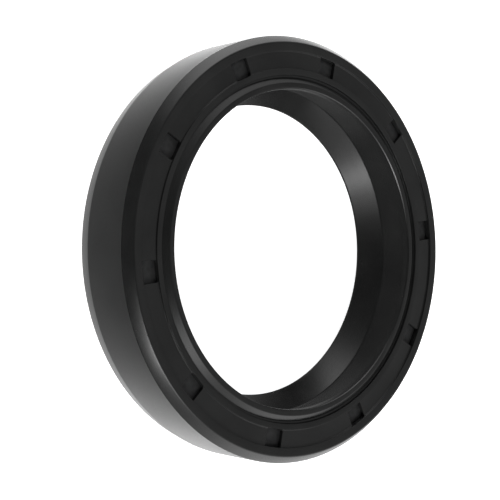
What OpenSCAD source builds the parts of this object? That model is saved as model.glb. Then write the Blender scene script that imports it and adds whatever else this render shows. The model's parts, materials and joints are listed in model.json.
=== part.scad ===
// Double lip rotary shaft seal: rubber moulded round a steel case, with a garter spring.
// +Z runs along the shaft towards the air side, and z = 0 is the oil-side end.

/* [Fit] */
// Diameter of the shaft that the lips run on
shaft_d = 28; // [27.4:0.2:28.6]
// Diameter of the housing bore, and so of the jacket
housing_d = 38; // [37.6:0.2:40]
// Width of the seal along the shaft
seal_w = 7; // [6.8:0.1:9]

/* [Jacket] */
// Length of the lead-in taper at the oil side
taper_len = 1.4; // [0.8:0.1:2]
// How far the lead-in taper draws in
taper_depth = 0.3; // [0.1:0.05:0.5]
// Length of the air-side chamfer along the shaft
chamfer_len = 0.82; // [0.5:0.02:1]
// How far the air-side chamfer draws in
chamfer_depth = 0.67; // [0.4:0.01:0.8]
// Width of the flat top of the outer rim
rim_w = 0.74; // [0.5:0.02:0.9]
// Width of the outer rim's sloping inner side
rim_slope = 0.34; // [0.2:0.02:0.4]
// Rubber outside the steel case
jacket_wall = 0.9; // [0.6:0.05:1.1]
// Rubber inside the steel case
liner_wall = 0.45; // [0.3:0.05:0.6]
// Draft of the liner towards the oil side
liner_draft = 0.12; // [0:0.02:0.2]

/* [Air-side face] */
// Radial section that the widths across the face are given for
face_section = 5; // [4.5:0.1:6]
// Depth of the slotted band below the outer rim
band_recess = 0.27; // [0.2:0.01:0.4]
// Rubber over the flange of the case, and so the depth of the slots
band_cover = 0.35; // [0.3:0.05:0.6]
// How far the inner ring's top lies below the outer rim
ring_drop = 0.13; // [0.06:0.01:0.18]
// Width of the inner ring's flat top
ring_w = 0.51; // [0.3:0.01:0.6]
// Width of the inner ring's sloping shoulder
ring_slope = 0.13; // [0.1:0.01:0.2]
// Depth of the groove that frees the dust lip, below the inner ring
groove_depth = 0.32; // [0.2:0.02:0.4]
// Width of the groove's floor
groove_w = 0.08; // [0.04:0.01:0.2]
// Width of the groove's sloping outer side
groove_slope = 0.13; // [0.1:0.01:0.25]
// Number of mould-support slots
slot_count = 10; // [4:1:14]
// Width of a slot along the rim
slot_w = 1.85; // [1:0.05:2.4]
// How far the slots bite into the inner ring's shoulder
slot_bite = 0.06; // [0.02:0.01:0.1]
// Angle of the first slot from +X
slot_turn = 6.8; // [0:0.2:36]

/* [Main lip] */
// How much smaller than the shaft the free lip is, on the radius
lip_squeeze = 0.6; // [0.4:0.05:0.7]
// Length of the lip's contact land
lip_land = 0.2; // [0.1:0.05:0.3]
// Distance of the land from the oil-side end
lip_setback = 0.87; // [0.8:0.01:1]
// Angle of the lip's air side to the shaft
lip_air_angle = 31; // [26:1:34]
// Angle of the lip's oil side to the shaft
lip_oil_angle = 46; // [40:1:55]
// Distance of the lip's nose from the oil-side end
nose_setback = 0.3; // [0.2:0.05:0.4]
// Rubber between the lip and the spring
head_wall = 0.85; // [0.7:0.05:1]
// Rubber of the flexing waist behind the lip
waist_wall = 0.77; // [0.6:0.01:0.9]
// Clearance between the bore and the shaft, on the radius
bore_gap = 0.73; // [0.6:0.01:0.85]

/* [Dust lip] */
// Clearance between the dust lip's edge and the shaft, on the radius
dust_gap = 0.29; // [0.1:0.01:0.36]
// How far the dust lip's top lies below the outer rim
dust_drop = 0.06; // [0:0.01:0.12]
// Length of the dust lip's inner side along the shaft
dust_len = 0.6; // [0.5:0.01:0.8]
// How much the dust lip's inner side opens towards the air side, on the radius
dust_flare = 0.05; // [0:0.01:0.1]
// Width of the dust lip's top
dust_top_w = 0.41; // [0.3:0.01:0.5]
// Width of the dust lip's sloping outer side
dust_slope = 0.53; // [0.4:0.01:0.6]
// Length of the dust lip's underside along the shaft
dust_under = 0.84; // [0.6:0.02:1]

/* [Steel case] */
// Sheet thickness of the case
case_wall = 0.6; // [0.4:0.05:0.7]
// Outside radius of the bend
case_bend = 0.8; // [0.75:0.05:1]
// Distance of the case from the oil-side end
case_setback = 0.8; // [0.6:0.05:1.2]
// Rubber between the bore and the edge of the flange
root_wall = 1.05; // [0.9:0.05:1.2]
// Rubber under the flange
flange_cover = 0.5; // [0.4:0.05:0.7]

/* [Garter spring] */
// Outside diameter of the coil
coil_d = 1.4; // [1.2:0.05:1.5]
// Diameter of the wire
wire_d = 0.35; // [0.25:0.01:0.4]
// Distance between neighbouring turns
coil_pitch = 0.5; // [0.46:0.02:0.7]
// Distance of the spring from the land's middle, towards the air side
spring_offset = 0.35; // [0.3:0.05:0.5]

/* [Hidden] */
$fn = 96;

// Play of the spring in its groove
spring_play = 0.01;
// Depth by which the slots open onto the flange
slot_overcut = 0.04;
// Reach of a cutter past the surface that it cuts
over = 1;

// Radii of the small mould roundings
end_round = 0.16;
edge_round = 0.12;
crest_round = 0.24;
dust_round = 0.1;
dust_back_round = 0.2;
trough_round = 0.4;
bore_round = 0.3;
slot_round = 0.2;
step_round = 0.35;

// Radii from the shaft outwards, with the face's widths in step with the section
shaft_r = shaft_d / 2;
jacket_r = housing_d / 2;
spread = (jacket_r - shaft_r) / face_section;
lip_r = shaft_r - lip_squeeze;
dust_r = shaft_r + dust_gap;
dust_front_r = dust_r + dust_flare;
dust_top_r = dust_front_r + dust_top_w * spread;
groove_in_r = dust_top_r + dust_slope * spread;
groove_out_r = groove_in_r + groove_w * spread;
ring_in_r = groove_out_r + groove_slope * spread;
ring_out_r = ring_in_r + ring_w * spread;
ring_foot_r = ring_out_r + ring_slope * spread;
slot_in_r = ring_foot_r - slot_bite;
bore_r = shaft_r + bore_gap;
flange_r = bore_r + root_wall * spread;
waist_r = bore_r + waist_wall;
spring_r = lip_r + head_wall + coil_d / 2 + spring_play;

// Radii from the housing inwards
case_r = jacket_r - jacket_wall;
case_in_r = case_r - case_wall;
liner_r = case_in_r - liner_wall;
rim_out_r = jacket_r - chamfer_depth;
step_r = rim_out_r - rim_w * spread;
step_foot_r = step_r - rim_slope * spread;

// Heights above the oil-side end
band_z = seal_w - band_recess;
ring_z = seal_w - ring_drop;
groove_z = ring_z - groove_depth;
dust_top_z = seal_w - dust_drop;
dust_edge_z = dust_top_z - dust_len;
dust_foot_z = dust_edge_z - dust_under;
flange_z = band_z - band_cover;
trough_z = flange_z - case_wall - flange_cover;
land_top_z = lip_setback + lip_land;
bore_foot_z = land_top_z + (bore_r - lip_r) / tan(lip_air_angle);
nose_r = lip_r + (lip_setback - nose_setback) * tan(lip_oil_angle);
spring_z = lip_setback + lip_land / 2 + spring_offset;
spring_wall_r = spring_r + coil_d / 4;
spring_wall_z = spring_z + coil_d / 2 + coil_d / 4;

// Turns of the spring, with the points along a turn and round the wire
turns = round(2 * PI * spring_r / coil_pitch);
turn_points = 6;
wire_points = 4;
rings = turns * turn_points;
coil_mean_r = (coil_d - wire_d) / 2;
lead = atan(coil_pitch / (2 * PI * coil_mean_r));

// Outlines are counter-clockwise lists of [radius, height, rounding].
rubber_outline = [
    [liner_r + liner_draft, 0, end_round],
    [jacket_r - taper_depth, 0, end_round],
    [jacket_r, taper_len, 0],
    [jacket_r, seal_w - chamfer_len, edge_round],
    [rim_out_r, seal_w, crest_round],
    [step_r, seal_w, edge_round],
    [step_foot_r, band_z, step_round],
    [ring_foot_r, band_z, 0],
    [ring_out_r, ring_z, 0],
    [ring_in_r, ring_z, 0],
    [groove_out_r, groove_z, 0],
    [groove_in_r, groove_z, 0],
    [dust_top_r, dust_top_z, dust_back_round],
    [dust_front_r, dust_top_z, dust_round],
    [dust_r, dust_edge_z, 0],
    [bore_r, dust_foot_z, bore_round],
    [bore_r, bore_foot_z, bore_round],
    [lip_r, land_top_z, 0],
    [lip_r, lip_setback, 0],
    [nose_r, nose_setback, edge_round],
    [spring_r, nose_setback, edge_round],
    [spring_r, spring_z, 0],
    [spring_wall_r, spring_z, 0],
    [spring_wall_r, spring_wall_z, edge_round],
    [waist_r, bore_foot_z, bore_round],
    [waist_r, trough_z, trough_round],
    [liner_r, trough_z, trough_round]
];

case_outside = [
    [flange_r, case_setback, 0],
    [case_r, case_setback, 0],
    [case_r, flange_z, case_bend],
    [flange_r, flange_z, 0]
];

case_inside = [
    [flange_r - over, case_setback - over, 0],
    [case_in_r, case_setback - over, 0],
    [case_in_r, flange_z - case_wall, case_bend - case_wall],
    [flange_r - over, flange_z - case_wall, 0]
];

slot_outline = [
    [slot_in_r, -slot_w / 2, slot_round],
    [step_foot_r + over, -slot_w / 2, 0],
    [step_foot_r + over, slot_w / 2, 0],
    [slot_in_r, slot_w / 2, slot_round]
];

// Corner geometry of an outline
function wrapped(outline, i) = outline[(i + len(outline)) % len(outline)];
function spot(corner) = [corner[0], corner[1]];
function towards(a, b) = (spot(b) - spot(a)) / norm(spot(b) - spot(a));
function back_way(outline, i) = towards(outline[i], wrapped(outline, i - 1));
function on_way(outline, i) = towards(outline[i], wrapped(outline, i + 1));
function half_angle(outline, i) = acos(back_way(outline, i) * on_way(outline, i)) / 2;
function is_convex(outline, i) = cross(back_way(outline, i), on_way(outline, i)) < 0;
function middle_way(outline, i) =
    let (sum = back_way(outline, i) + on_way(outline, i))
    sum / norm(sum);
function round_centre(outline, i) =
    spot(outline[i]) + middle_way(outline, i) * outline[i][2] / sin(half_angle(outline, i));
function corner_points(outline, i) =
    let (reach = outline[i][2] / tan(half_angle(outline, i)))
    outline[i][2] == 0
        ? [spot(outline[i])]
        : [
            spot(outline[i]) + back_way(outline, i) * reach,
            spot(outline[i]) + on_way(outline, i) * reach
        ];

// Circles that round the convex or the concave corners of an outline
module corner_rounds(outline, convex) {
    for (i = [0 : len(outline) - 1])
        if (outline[i][2] > 0 && is_convex(outline, i) == convex)
            translate(round_centre(outline, i))
                circle(r = outline[i][2]);
}

// An outline with each corner rounded by its own radius
module rounded_shape(outline) {
    difference() {
        union() {
            polygon([for (i = [0 : len(outline) - 1]) each corner_points(outline, i)]);
            corner_rounds(outline, true);
        }
        corner_rounds(outline, false);
    }
}

// The L section of the case, bent from sheet
module case_section() {
    difference() {
        rounded_shape(case_outside);
        rounded_shape(case_inside);
    }
}

// The section of the rubber, with room for the case and the spring
module rubber_section() {
    difference() {
        rounded_shape(rubber_outline);
        case_section();
        translate([spring_r, spring_z])
            circle(d = coil_d + 2 * spring_play);
    }
}

// One slot through the rubber, down to the flange of the case
module slot_cut() {
    translate([0, 0, flange_z - slot_overcut])
        linear_extrude(height = band_cover + slot_overcut + over)
            intersection() {
                rounded_shape(slot_outline);
                circle(r = step_foot_r);
            }
}

// The rubber moulding: jacket, face, dust lip and main lip in one
module rubber_body() {
    color("#1d1d1f")
        difference() {
            rotate_extrude()
                rubber_section();
            for (i = [0 : slot_count - 1])
                rotate(slot_turn + i * 360 / slot_count)
                    slot_cut();
        }
}

// The pressed steel ring inside the rubber
module steel_case() {
    color("#5d6166")
        rotate_extrude()
            case_section();
}

// A point of the spring's wire: ring number along the wire, point number round it
function wire_point(ring, k) =
    let (
        loop_turn = 360 * ring / rings,
        coil_turn = 360 * ring / turn_points,
        wire_turn = 360 * k / wire_points,
        out = wire_d / 2 * cos(wire_turn),
        side = wire_d / 2 * sin(wire_turn),
        r = spring_r + (coil_mean_r + out) * cos(coil_turn) + side * sin(lead) * sin(coil_turn),
        z = spring_z + (coil_mean_r + out) * sin(coil_turn) - side * sin(lead) * cos(coil_turn),
        along = side * cos(lead)
    )
    [
        r * cos(loop_turn) - along * sin(loop_turn),
        r * sin(loop_turn) + along * cos(loop_turn),
        z
    ];
function wire_index(ring, k) = (ring % rings) * wire_points + k % wire_points;

// The closed coil spring that presses the main lip on the shaft
module garter_spring() {
    points = [for (ring = [0 : rings - 1], k = [0 : wire_points - 1]) wire_point(ring, k)];
    faces = [
        for (ring = [0 : rings - 1], k = [0 : wire_points - 1])
            each [
                [wire_index(ring, k), wire_index(ring, k + 1), wire_index(ring + 1, k + 1)],
                [wire_index(ring, k), wire_index(ring + 1, k + 1), wire_index(ring + 1, k)]
            ]
    ];
    color("#b9bcc0")
        polyhedron(points, faces);
}

rubber_body();
steel_case();
garter_spring();
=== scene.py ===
import json
import math
import bmesh
import bpy
from mathutils import Matrix, Vector


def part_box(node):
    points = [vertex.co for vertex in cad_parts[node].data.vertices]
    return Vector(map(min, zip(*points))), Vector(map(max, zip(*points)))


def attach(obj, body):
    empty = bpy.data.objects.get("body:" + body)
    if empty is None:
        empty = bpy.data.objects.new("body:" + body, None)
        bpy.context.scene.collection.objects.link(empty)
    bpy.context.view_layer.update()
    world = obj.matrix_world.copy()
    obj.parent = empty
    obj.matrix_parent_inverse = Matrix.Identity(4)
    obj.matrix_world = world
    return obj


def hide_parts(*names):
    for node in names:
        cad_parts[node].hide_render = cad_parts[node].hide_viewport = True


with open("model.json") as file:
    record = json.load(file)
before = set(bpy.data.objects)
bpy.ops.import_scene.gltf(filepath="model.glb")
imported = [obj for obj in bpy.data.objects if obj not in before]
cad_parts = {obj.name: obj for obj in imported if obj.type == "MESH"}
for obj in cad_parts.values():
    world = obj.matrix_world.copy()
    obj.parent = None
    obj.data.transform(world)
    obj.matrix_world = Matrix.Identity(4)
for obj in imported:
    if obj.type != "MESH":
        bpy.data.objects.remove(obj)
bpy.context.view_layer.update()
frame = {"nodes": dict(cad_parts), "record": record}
mm = 0.001
mounts = {mount["name"]: mount["dims"] for mount in frame["record"]["mounts"]}
lipRadius = mounts["shaft_bore"]["r_mm"] * mm
jacketRadius = mounts["housing_od"]["r_mm"] * mm
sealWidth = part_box("rubber_body")[1].z
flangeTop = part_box("steel_case")[1].z
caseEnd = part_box("steel_case")[0].z
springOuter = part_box("garter_spring")[1].x
springHeight = sum(corner.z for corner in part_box("garter_spring")) / 2
print("frame loaded", sorted(frame["nodes"]))


# the camera stands where the picture was taken from
shot = {
    "lens": 81.54,
    "sensor": 36,
    "lean": math.radians(41.18),  # between the line of sight and the shaft
    "nod": math.radians(-0.78),
    "distance": 100.73 * mm,  # to the plane of the outer rim
    "aside": 4.73 * mm,
    "above": 0.08 * mm,
    "nearest": 1 * mm,
}


def placeCamera():
    bpy.ops.object.camera_add()
    camera = bpy.context.object
    camera.name = "camera"
    camera.data.lens = shot["lens"]
    camera.data.sensor_width = shot["sensor"]
    camera.data.clip_start = shot["nearest"]
    turn = Matrix.Rotation(shot["nod"], 3, "X") @ Matrix.Rotation(shot["lean"], 3, "Y")
    back = turn.transposed()
    offset = Vector((shot["aside"], shot["above"], -shot["distance"]))
    place = back @ -offset + Vector((0, 0, sealWidth))
    camera.matrix_world = Matrix.Translation(place) @ back.to_4x4()
    bpy.context.scene.camera = camera


placeCamera()
print("camera placed")


# how near two points lie when they count as one
joins = {"outline": 0.002 * mm, "seam": 0.001 * mm, "turns": 0.002 * mm, "ends": 0.004 * mm}


# helpers for working in edit mode
def freshStart():
    if bpy.context.object and bpy.context.object.mode != "OBJECT":
        bpy.ops.object.mode_set(mode="OBJECT")
    bpy.ops.object.select_all(action="DESELECT")


def makeActive(piece):
    freshStart()
    piece.select_set(True)
    bpy.context.view_layer.objects.active = piece


def pickVertices(piece, wanted):
    mesh = bmesh.from_edit_mesh(piece.data)
    for part in (*mesh.faces, *mesh.edges):
        part.select = False
    for vertex in mesh.verts:
        vertex.select = wanted(vertex.co)
    mesh.select_flush_mode()
    bmesh.update_edit_mesh(piece.data)


def applyModifier(piece, kind, **settings):
    makeActive(piece)
    modifier = piece.modifiers.new(kind.lower(), kind)
    for name, value in settings.items():
        setattr(modifier, name, value)
    bpy.ops.object.modifier_apply(modifier=modifier.name)


# outlines are corners of radius, height and rounding in the XZ plane
def arcCorners(middle, radius, start, end, count):
    angles = [math.radians(start + (end - start) * i / count) for i in range(count + 1)]
    return [(middle[0] + radius * math.cos(a), middle[1] + radius * math.sin(a), 0) for a in angles]


def cornerReach(before, corner, after):
    back = Vector(before[:2]) - Vector(corner[:2])
    onward = Vector(after[:2]) - Vector(corner[:2])
    return corner[2] / math.tan(back.angle(onward) / 2)


def drawOutline(name, corners, segments):
    freshStart()
    bpy.ops.mesh.primitive_plane_add(size=1 * mm)
    piece = bpy.context.object
    piece.name = name
    bpy.ops.object.mode_set(mode="EDIT")
    bpy.ops.mesh.select_mode(type="VERT")
    bpy.ops.mesh.select_all(action="SELECT")
    bpy.ops.mesh.merge(type="CENTER")
    spots = [Vector((radius, 0, height)) for radius, height, rounding in corners]
    bpy.ops.transform.translate(value=spots[0])
    for start, end in zip(spots, spots[1:] + spots[:1]):
        bpy.ops.mesh.extrude_region_move(TRANSFORM_OT_translate={"value": end - start})
    bpy.ops.mesh.select_all(action="SELECT")
    bpy.ops.mesh.remove_doubles(threshold=joins["outline"])  # closes the loop
    for i, corner in enumerate(corners):
        if corner[2] == 0:
            continue
        reach = cornerReach(corners[i - 1], corner, corners[(i + 1) % len(corners)])
        pickVertices(piece, lambda place: (place - spots[i]).length < joins["outline"])
        bpy.ops.mesh.bevel(offset=reach, segments=segments, profile=0.5, affect="VERTICES")
    bpy.ops.object.mode_set(mode="OBJECT")
    return piece


def spinRing(piece, steps):
    bpy.ops.object.mode_set(mode="EDIT")
    bpy.ops.mesh.select_all(action="SELECT")
    bpy.ops.mesh.spin(steps=steps, angle=2 * math.pi, center=(0, 0, 0), axis=(0, 0, 1))
    bpy.ops.mesh.select_all(action="SELECT")
    bpy.ops.mesh.remove_doubles(threshold=joins["seam"])  # closes the seam
    bpy.ops.mesh.normals_make_consistent(inside=False)
    bpy.ops.object.mode_set(mode="OBJECT")
    return piece


# the rubber moulding
rubber = {
    "taperLength": 1.4 * mm, "taperDepth": 0.3 * mm,
    "chamferLength": 0.82 * mm, "chamferDepth": 0.67 * mm, "rimWidth": 0.74 * mm,
    "rimSlope": 0.05 * mm, "rimFall": 0.09 * mm, "ringFall": 0.08 * mm,
    "jacketWall": 0.9 * mm, "caseWall": 0.6 * mm, "linerWall": 0.45 * mm, "linerDraft": 0.12 * mm,
    "bandRecess": 0.27 * mm, "ringDrop": 0.13 * mm, "ringWidth": 0.51 * mm, "ringSlope": 0.04 * mm,
    "grooveDepth": 0.32 * mm, "grooveWidth": 0.15 * mm, "grooveSlope": 0.06 * mm,
    "squeeze": 0.6 * mm, "land": 0.2 * mm, "setback": 0.87 * mm, "noseSetback": 0.3 * mm,
    "airAngle": math.radians(38), "oilAngle": math.radians(46),
    "waistWall": 0.55 * mm, "boreGap": 0.95 * mm, "rootWall": 0.83 * mm, "flangeCover": 0.5 * mm,
    "dustGap": 0.2 * mm, "dustDrop": 0.06 * mm, "dustLength": 0.6 * mm, "dustFlare": 0.05 * mm,
    "dustTop": 0.5 * mm, "dustBevel": 0.08 * mm, "bevelSteepness": 1.28,
    "dustSlope": 0.53 * mm, "dustUnder": 0.45 * mm,
    "coilRadius": 0.7 * mm, "coilPlay": 0.01 * mm, "coilWallRise": 1.5, "coilSteps": 24,
    "caseBend": 0.8 * mm,
    "endRound": 0.16 * mm, "edgeRound": 0.12 * mm, "crestRound": 0.24 * mm,
    "rimRound": 0.03 * mm, "footRound": 0.04 * mm, "stepRound": 0.05 * mm,
    "dustRound": 0.06 * mm, "dustBackRound": 0.2 * mm, "ringRound": 0.025 * mm,
    "tipRound": 0.03 * mm, "troughRound": 0.4 * mm, "boreRound": 0.3 * mm, "throatRound": 0.35 * mm,
    "roundSegments": 5, "spinSteps": 240, "smoothAngle": math.radians(32),
}
shaftRadius = lipRadius + rubber["squeeze"]
stepRadius = jacketRadius - rubber["chamferDepth"] - rubber["rimWidth"]
stepFoot = stepRadius - rubber["rimSlope"]
bandHeight = sealWidth - rubber["bandRecess"]
boreRadius = shaftRadius + rubber["boreGap"]
dustRadius = shaftRadius + rubber["dustGap"]
grooveRadius = dustRadius + rubber["dustFlare"] + rubber["dustTop"] + rubber["dustSlope"]
ringRadius = grooveRadius + rubber["grooveWidth"] + rubber["grooveSlope"]
ringFoot = ringRadius + rubber["ringWidth"] + rubber["ringSlope"]


def jacketCorners():
    r = rubber
    liner = jacketRadius - r["jacketWall"] - r["caseWall"] - r["linerWall"]
    trough = flangeTop - r["caseWall"] - r["flangeCover"]
    return [
        (liner, trough, r["troughRound"]),
        (liner + r["linerDraft"], 0, r["endRound"]),
        (jacketRadius - r["taperDepth"], 0, r["endRound"]),
        (jacketRadius, r["taperLength"], r["boreRound"]),
        (jacketRadius, sealWidth - r["chamferLength"], r["edgeRound"]),
        (jacketRadius - r["chamferDepth"], sealWidth, r["crestRound"]),
        (stepRadius, sealWidth - r["rimFall"], r["rimRound"]),
        (stepFoot, bandHeight, r["stepRound"]),
    ]


def mouthCorners():
    r = rubber
    ringTop = sealWidth - r["ringDrop"]
    grooveFloor = ringTop - r["grooveDepth"]
    dustTop = sealWidth - r["dustDrop"]
    dustEdge = dustTop - r["dustLength"]
    return [
        (ringFoot, bandHeight, r["footRound"]),
        (ringFoot - r["ringSlope"], ringTop, r["ringRound"]),
        (ringRadius, ringTop - r["ringFall"], r["ringRound"]),
        (grooveRadius + r["grooveWidth"], grooveFloor, r["tipRound"]),
        (grooveRadius, grooveFloor, r["tipRound"]),
        (grooveRadius - r["dustSlope"], dustTop, r["dustBackRound"]),
        (dustRadius + r["dustFlare"] + r["dustBevel"], dustTop, r["dustRound"]),
        (dustRadius + r["dustFlare"], dustTop - r["bevelSteepness"] * r["dustBevel"], r["dustRound"]),
        (dustRadius, dustEdge, r["tipRound"]),
        (boreRadius, dustEdge - r["dustUnder"], r["boreRound"]),
    ]


def lipCorners():
    r = rubber
    landTop = r["setback"] + r["land"]
    boreFoot = landTop + (boreRadius - lipRadius) / math.tan(r["airAngle"])
    nose = lipRadius + (r["setback"] - r["noseSetback"]) * math.tan(r["oilAngle"])
    spring = (springOuter - r["coilRadius"], springHeight)
    groove = r["coilRadius"] + r["coilPlay"]
    wall = spring[0] + r["coilRadius"] / 2
    wallAngle = math.degrees(math.acos((wall - spring[0]) / groove))
    waist = boreRadius + r["waistWall"]
    return [
        (boreRadius, boreFoot, r["throatRound"]),
        (lipRadius, landTop, r["tipRound"]),
        (lipRadius, r["setback"], r["tipRound"]),
        (nose, r["noseSetback"], r["edgeRound"]),
        (spring[0], r["noseSetback"], r["edgeRound"]),
        *arcCorners(spring, groove, 270, wallAngle, r["coilSteps"]),
        (wall, springHeight + r["coilWallRise"] * r["coilRadius"], r["edgeRound"]),
        (waist, boreFoot, r["boreRound"]),
        (waist, flangeTop - r["caseWall"] - r["flangeCover"], r["troughRound"]),
    ]


def caseRoom():
    r = rubber
    outer = jacketRadius - r["jacketWall"]
    inner = outer - r["caseWall"]
    edge = boreRadius + r["rootWall"]
    underside = flangeTop - r["caseWall"]
    return [
        (inner, caseEnd, 0),
        (outer, caseEnd, 0),
        (outer, flangeTop, r["caseBend"]),
        (edge, flangeTop, 0),
        (edge, underside, 0),
        (inner, underside, r["caseBend"] - r["caseWall"]),
    ]


# the slots that the mould's support pins leave
slots = {
    "count": 10, "width": 1.85 * mm, "bite": 0.06 * mm, "turn": math.radians(6.8),
    "overcut": 0.04 * mm, "overshoot": 1 * mm, "cornerRound": 0.2 * mm, "cornerSegments": 4,
}


def slotCutter():
    freshStart()
    floor = flangeTop - slots["overcut"]
    top = sealWidth + slots["overshoot"]
    size = (stepFoot - ringFoot + slots["bite"], slots["width"], top - floor)
    middle = stepFoot - size[0] / 2
    bpy.ops.mesh.primitive_cube_add(size=1, location=(middle, 0, (top + floor) / 2), scale=size)
    cutter = bpy.context.object
    cutter.name = "slotCutter"
    bpy.ops.object.transform_apply()
    bpy.ops.object.mode_set(mode="EDIT")
    mesh = bmesh.from_edit_mesh(cutter.data)
    for edge in mesh.edges:
        upright = abs(edge.verts[0].co.z - edge.verts[1].co.z) > 0.5 * size[2]
        edge.select = upright and edge.verts[0].co.x < middle
    bmesh.update_edit_mesh(cutter.data)
    bpy.ops.mesh.select_mode(type="EDGE")
    bpy.ops.mesh.bevel(offset=slots["cornerRound"], segments=slots["cornerSegments"], affect="EDGES")
    bpy.ops.mesh.select_mode(type="VERT")
    for i in range(1, slots["count"]):  # one copy at a time, each a step further round
        bpy.ops.mesh.select_all(action="DESELECT")
        pickVertices(cutter, lambda place: abs(math.atan2(place.y, place.x)) < math.pi / slots["count"])
        bpy.ops.mesh.duplicate()
        bpy.ops.transform.rotate(
            value=-2 * math.pi * i / slots["count"], orient_axis="Z", center_override=(0, 0, 0))
    bpy.ops.mesh.select_all(action="SELECT")
    bpy.ops.transform.rotate(value=-slots["turn"], orient_axis="Z", center_override=(0, 0, 0))
    bpy.ops.object.mode_set(mode="OBJECT")
    return cutter


def makeRubber():
    corners = jacketCorners() + mouthCorners() + lipCorners()
    body = spinRing(drawOutline("sealRubber", corners, rubber["roundSegments"]), rubber["spinSteps"])
    room = spinRing(drawOutline("caseRoom", caseRoom(), rubber["roundSegments"]), rubber["spinSteps"])
    for cutter in (room, slotCutter()):
        applyModifier(body, "BOOLEAN", object=cutter, operation="DIFFERENCE", solver="EXACT")
        bpy.data.objects.remove(cutter)
    makeActive(body)
    bpy.ops.object.shade_smooth_by_angle(angle=rubber["smoothAngle"])
    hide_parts("rubber_body")
    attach(body, "root")
    return body


sealRubber = makeRubber()
print("rubber moulded", len(sealRubber.data.polygons), "faces")


# the garter spring: one turn of wire, repeated and bent into a ring
coil = {"wire": 0.35 * mm, "pitch": 0.5 * mm, "wireSides": 8, "turnSteps": 14}


def makeSpring():
    coilLine = springOuter - rubber["coilRadius"]
    turns = round(2 * math.pi * coilLine / coil["pitch"])
    pitch = 2 * math.pi * coilLine / turns
    middle = rubber["coilRadius"] - coil["wire"] / 2
    freshStart()
    bpy.ops.mesh.primitive_circle_add(
        vertices=coil["wireSides"], radius=coil["wire"] / 2, location=(0, middle, 0))
    spring = bpy.context.object
    spring.name = "springCoil"
    bpy.ops.object.transform_apply()
    applyModifier(
        spring, "SCREW", axis="X", angle=2 * math.pi, screw_offset=pitch, steps=coil["turnSteps"],
        render_steps=coil["turnSteps"], use_merge_vertices=False)
    applyModifier(
        spring, "ARRAY", count=turns, use_relative_offset=False, use_constant_offset=True,
        constant_offset_displace=(pitch, 0, 0), use_merge_vertices=True, merge_threshold=joins["turns"])
    length = turns * pitch
    span = max(v.co.x for v in spring.data.vertices) - min(v.co.x for v in spring.data.vertices)
    applyModifier(
        spring, "SIMPLE_DEFORM", deform_method="BEND", deform_axis="Z",
        angle=2 * math.pi * span / length)
    bpy.ops.object.mode_set(mode="EDIT")
    bpy.ops.mesh.select_all(action="SELECT")
    bpy.ops.transform.translate(value=(0, -coilLine, springHeight))
    bpy.ops.mesh.remove_doubles(threshold=joins["ends"])  # joins the two ends
    bpy.ops.mesh.normals_make_consistent(inside=False)
    bpy.ops.object.mode_set(mode="OBJECT")
    bpy.ops.object.shade_smooth()
    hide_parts("garter_spring")
    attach(spring, "root")
    return spring


springCoil = makeSpring()
print("spring wound", len(springCoil.data.polygons), "faces")


# material maths: a wrapped socket, and one method for every other node
class Flow:
    def __init__(self, tree, socket=None):
        self.tree = tree
        self.socket = socket

    def node(self, kind, settings=None, sockets=None, out=0):
        made = self.tree.nodes.new(kind)
        for name, value in (settings or {}).items():
            setattr(made, name, value)
        for name, value in (sockets or {}).items():
            if isinstance(value, Flow):
                self.tree.links.new(value.socket, made.inputs[name])
            else:
                made.inputs[name].default_value = value
        return Flow(self.tree, made.outputs[out] if made.outputs else None)

    def maths(self, operation, first, second=0.0):
        return self.node("ShaderNodeMath", {"operation": operation}, {0: first, 1: second})

    def __add__(self, other):
        return self.maths("ADD", self, other)

    def __radd__(self, other):
        return self.maths("ADD", other, self)

    def __sub__(self, other):
        return self.maths("SUBTRACT", self, other)

    def __rsub__(self, other):
        return self.maths("SUBTRACT", other, self)

    def __mul__(self, other):
        return self.maths("MULTIPLY", self, other)

    def __rmul__(self, other):
        return self.maths("MULTIPLY", other, self)

    def mixColours(self, first, second):
        return self.node(
            "ShaderNodeMix", {"data_type": "RGBA"}, {0: self, 6: (*first, 1), 7: (*second, 1)}, out=2)


def newFinish(name):
    material = bpy.data.materials.new(name)
    material.use_nodes = True
    material.node_tree.nodes.clear()
    return material, Flow(material.node_tree)


def closeFinish(flow, sockets):
    shader = flow.node("ShaderNodeBsdfPrincipled", {}, sockets)
    flow.node("ShaderNodeOutputMaterial", {}, {"Surface": shader})


def wear(piece, material):
    piece.data.materials.clear()
    piece.data.materials.append(material)


rubberLook = {
    "dark": (0.007, 0.0072, 0.0072), "bloom": (0.013, 0.0133, 0.013), "bloomFrom": 0.35, "bloomTo": 0.7,
    "cloudScale": 260, "cloudDetail": 4.0, "grainScale": 5200, "grainDetail": 3.0,
    "turningPitch": 0.16 * mm, "turningWander": 0.02 * mm, "turningDepth": 0.12,
    "roughness": 0.24, "jacketRoughness": 0.48, "roughnessSpread": 0.08, "grainRoughness": 0.08,
    "jacketFrom": 18.2 * mm, "jacketTo": 18.45 * mm, "belowFrom": 6.2 * mm, "belowTo": 6.05 * mm,
    "bump": 0.09, "bumpDepth": 0.012 * mm, "refraction": 1.45,
}


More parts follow.
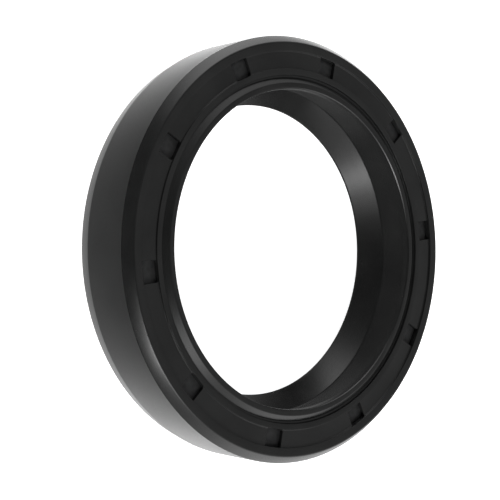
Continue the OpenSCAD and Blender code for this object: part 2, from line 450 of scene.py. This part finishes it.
def rubberFinish():
    look = rubberLook
    material, flow = newFinish("mouldedRubber")
    place = flow.node("ShaderNodeTexCoord", out=3)
    x, y, z = (flow.node("ShaderNodeSeparateXYZ", {}, {0: place}, out=i) for i in range(3))
    radius = flow.maths("SQRT", x * x + y * y)
    cloud = flow.node("ShaderNodeTexNoise", {}, {
        "Vector": place, "Scale": look["cloudScale"], "Detail": look["cloudDetail"]})
    grain = flow.node("ShaderNodeTexNoise", {}, {
        "Vector": place, "Scale": look["grainScale"], "Detail": look["grainDetail"]})
    path = radius - z + cloud * look["turningWander"]
    turning = flow.maths("SINE", path * (2 * math.pi / look["turningPitch"]))
    jacket = flow.node("ShaderNodeMapRange", {}, {
        "Value": radius, "From Min": look["jacketFrom"], "From Max": look["jacketTo"]})
    below = flow.node("ShaderNodeMapRange", {}, {
        "Value": z, "From Min": look["belowFrom"], "From Max": look["belowTo"]})
    skin = look["roughness"] + jacket * below * (look["jacketRoughness"] - look["roughness"])
    bloom = flow.node("ShaderNodeMapRange", {}, {
        "Value": cloud, "From Min": look["bloomFrom"], "From Max": look["bloomTo"]})
    spread = (cloud - 0.5) * look["roughnessSpread"]
    closeFinish(flow, {
        "Base Color": bloom.mixColours(look["dark"], look["bloom"]),
        "Roughness": skin + spread + (grain - 0.5) * look["grainRoughness"],
        "Normal": flow.node("ShaderNodeBump", {}, {
            "Height": grain + turning * look["turningDepth"],
            "Strength": look["bump"], "Distance": look["bumpDepth"]}),
        "IOR": look["refraction"],
    })
    return material


steelLook = {
    "dark": (0.036, 0.0365, 0.037), "light": (0.082, 0.0825, 0.083),
    "crystalScale": 2600, "hazeScale": 500.0, "hazeDetail": 3.0, "crystalShare": 0.5,
    "metallic": 0.85, "roughness": 0.5, "roughnessSpread": 0.2, "bump": 0.2, "bumpDepth": 0.01 * mm,
}


def phosphateFinish():
    look = steelLook
    material, flow = newFinish("phosphatedSteel")
    place = flow.node("ShaderNodeTexCoord", out=3)
    crystals = flow.node("ShaderNodeTexVoronoi", {}, {"Vector": place, "Scale": look["crystalScale"]})
    haze = flow.node("ShaderNodeTexNoise", {}, {
        "Vector": place, "Scale": look["hazeScale"], "Detail": look["hazeDetail"]})
    tone = crystals * look["crystalShare"] + haze * (1 - look["crystalShare"])
    closeFinish(flow, {
        "Base Color": tone.mixColours(look["dark"], look["light"]),
        "Metallic": look["metallic"],
        "Roughness": look["roughness"] + haze * look["roughnessSpread"],
        "Normal": flow.node("ShaderNodeBump", {}, {
            "Height": crystals, "Strength": look["bump"], "Distance": look["bumpDepth"]}),
    })
    return material


wireLook = {
    "dark": (0.36, 0.36, 0.37), "light": (0.58, 0.58, 0.58),
    "hazeScale": 700.0, "hazeDetail": 3.0, "drawnScale": 9000.0, "drawnDetail": 2.0,
    "metallic": 1.0, "roughness": 0.22, "roughnessSpread": 0.16, "bump": 0.1, "bumpDepth": 0.01 * mm,
}


def wireFinish():
    look = wireLook
    material, flow = newFinish("springWire")
    place = flow.node("ShaderNodeTexCoord", out=3)
    haze = flow.node("ShaderNodeTexNoise", {}, {
        "Vector": place, "Scale": look["hazeScale"], "Detail": look["hazeDetail"]})
    drawn = flow.node("ShaderNodeTexNoise", {}, {
        "Vector": place, "Scale": look["drawnScale"], "Detail": look["drawnDetail"]})
    closeFinish(flow, {
        "Base Color": haze.mixColours(look["dark"], look["light"]),
        "Metallic": look["metallic"],
        "Roughness": look["roughness"] + haze * look["roughnessSpread"],
        "Normal": flow.node("ShaderNodeBump", {}, {
            "Height": drawn, "Strength": look["bump"], "Distance": look["bumpDepth"]}),
    })
    return material


wear(sealRubber, rubberFinish())
wear(springCoil, wireFinish())
wear(frame["nodes"]["steel_case"], phosphateFinish())
print("finishes on")


# a white table in a dim room, with soft panels of light round it
studio = {
    "tableSize": 6.0, "tableDrop": 0.02 * mm, "tableShade": (0.9, 0.9, 0.9, 1), "tableRoughness": 0.9,
    "tableGlow": 1.0, "room": 0.1,
}
# painted shade: settings of the dim card under the hole that stands in for the ring's shadow on the
# table
shadowCard = {
    "radius": 16.5 * mm, "sides": 96, "drop": 0.01 * mm,
    "middleGlow": 0.19, "endGlow": 0.5, "middle": 6 * mm, "end": 11 * mm,
}
panels = {  # azimuth and height in degrees, sharpness, strength
    "topSide": (57, -10, 3.5, 0.35),
    "topEdge": (77, -3, 16, 2.0),
    "topCone": (91, 19, 24, 1.9),
    "topHigh": (104, 40, 8, 0.22),
    "bottomSide": (300, -3, 3.5, 1.1),
    "bottomFar": (292, 14, 16, 1.2),
    "lampLeft": (214, 35, 120, 3.2),
    "lampMiddle": (232, 32, 110, 15.0),
    "lampRight": (250, 32, 60, 2.5),
    "lampHigh": (247, 43, 40, 3.2),
    "lowTop": (40, -50, 10, 4.2),
    "lowBottom": (300, -50, 10, 3.4),
    "under": (0, -90, 14, 1.3),
    "farSide": (0, 60, 12, 0.24),
}


def layTable():
    freshStart()
    bpy.ops.mesh.primitive_plane_add(size=studio["tableSize"], location=(0, 0, -studio["tableDrop"]))
    table = bpy.context.object
    table.name = "table"
    table.visible_glossy = False  # the rubber shines with the room's light alone
    material, flow = newFinish("whiteTable")
    closeFinish(flow, {
        "Base Color": studio["tableShade"], "Roughness": studio["tableRoughness"],
        "Specular IOR Level": 0.0,
        "Emission Color": (1, 1, 1, 1), "Emission Strength": studio["tableGlow"],
    })
    wear(table, material)


# painted shade: a dim glowing card under the hole, seen only in the rubber's shine, stands in for the
# table lying in the ring's shadow
def layShadowCard():
    freshStart()
    bpy.ops.mesh.primitive_circle_add(
        vertices=shadowCard["sides"], radius=shadowCard["radius"], fill_type="NGON", location=(0, 0, -shadowCard["drop"]))
    sheet = bpy.context.object
    sheet.name = "shadowCard"
    sheet.visible_camera = False
    sheet.visible_diffuse = False
    sheet.visible_shadow = False
    material, flow = newFinish("paintedShadowCard")
    y = flow.node("ShaderNodeSeparateXYZ", {}, {0: flow.node("ShaderNodeTexCoord", out=3)}, out=1)
    # painted shade: the card's glow is dimmest in the middle, where the ring's shadow lies, and
    # brighter towards its ends
    shade = flow.node("ShaderNodeMapRange", {}, {
        "Value": flow.maths("ABSOLUTE", y), "From Min": shadowCard["middle"], "From Max": shadowCard["end"],
        "To Min": shadowCard["middleGlow"], "To Max": shadowCard["endGlow"]})
    closeFinish(flow, {
        "Base Color": (0, 0, 0, 1), "Specular IOR Level": 0.0,
        "Emission Color": shade, "Emission Strength": 1.0,
    })
    wear(sheet, material)


def lightStudio():
    world = bpy.data.worlds.new("softRoom")
    bpy.context.scene.world = world
    world.use_nodes = True
    world.node_tree.nodes.clear()
    flow = Flow(world.node_tree)
    direction = flow.node("ShaderNodeTexCoord")
    light = studio["room"]
    for azimuth, height, sharpness, strength in panels.values():
        turn = Matrix.Rotation(math.radians(azimuth), 3, "Z")
        tip = Matrix.Rotation(math.radians(-height), 3, "Y")
        facing = flow.node("ShaderNodeVectorMath", {"operation": "DOT_PRODUCT"}, {
            0: direction, 1: turn @ tip @ Vector((1, 0, 0))}, out=1)
        light = light + flow.maths("EXPONENT", (facing - 1) * sharpness) * strength
    glow = flow.node("ShaderNodeBackground", {}, {"Color": light, "Strength": 1.0})
    flow.node("ShaderNodeOutputWorld", {}, {"Surface": glow})
    bpy.context.scene.view_settings.view_transform = "Standard"


layTable()
layShadowCard()
lightStudio()
print("studio lit")
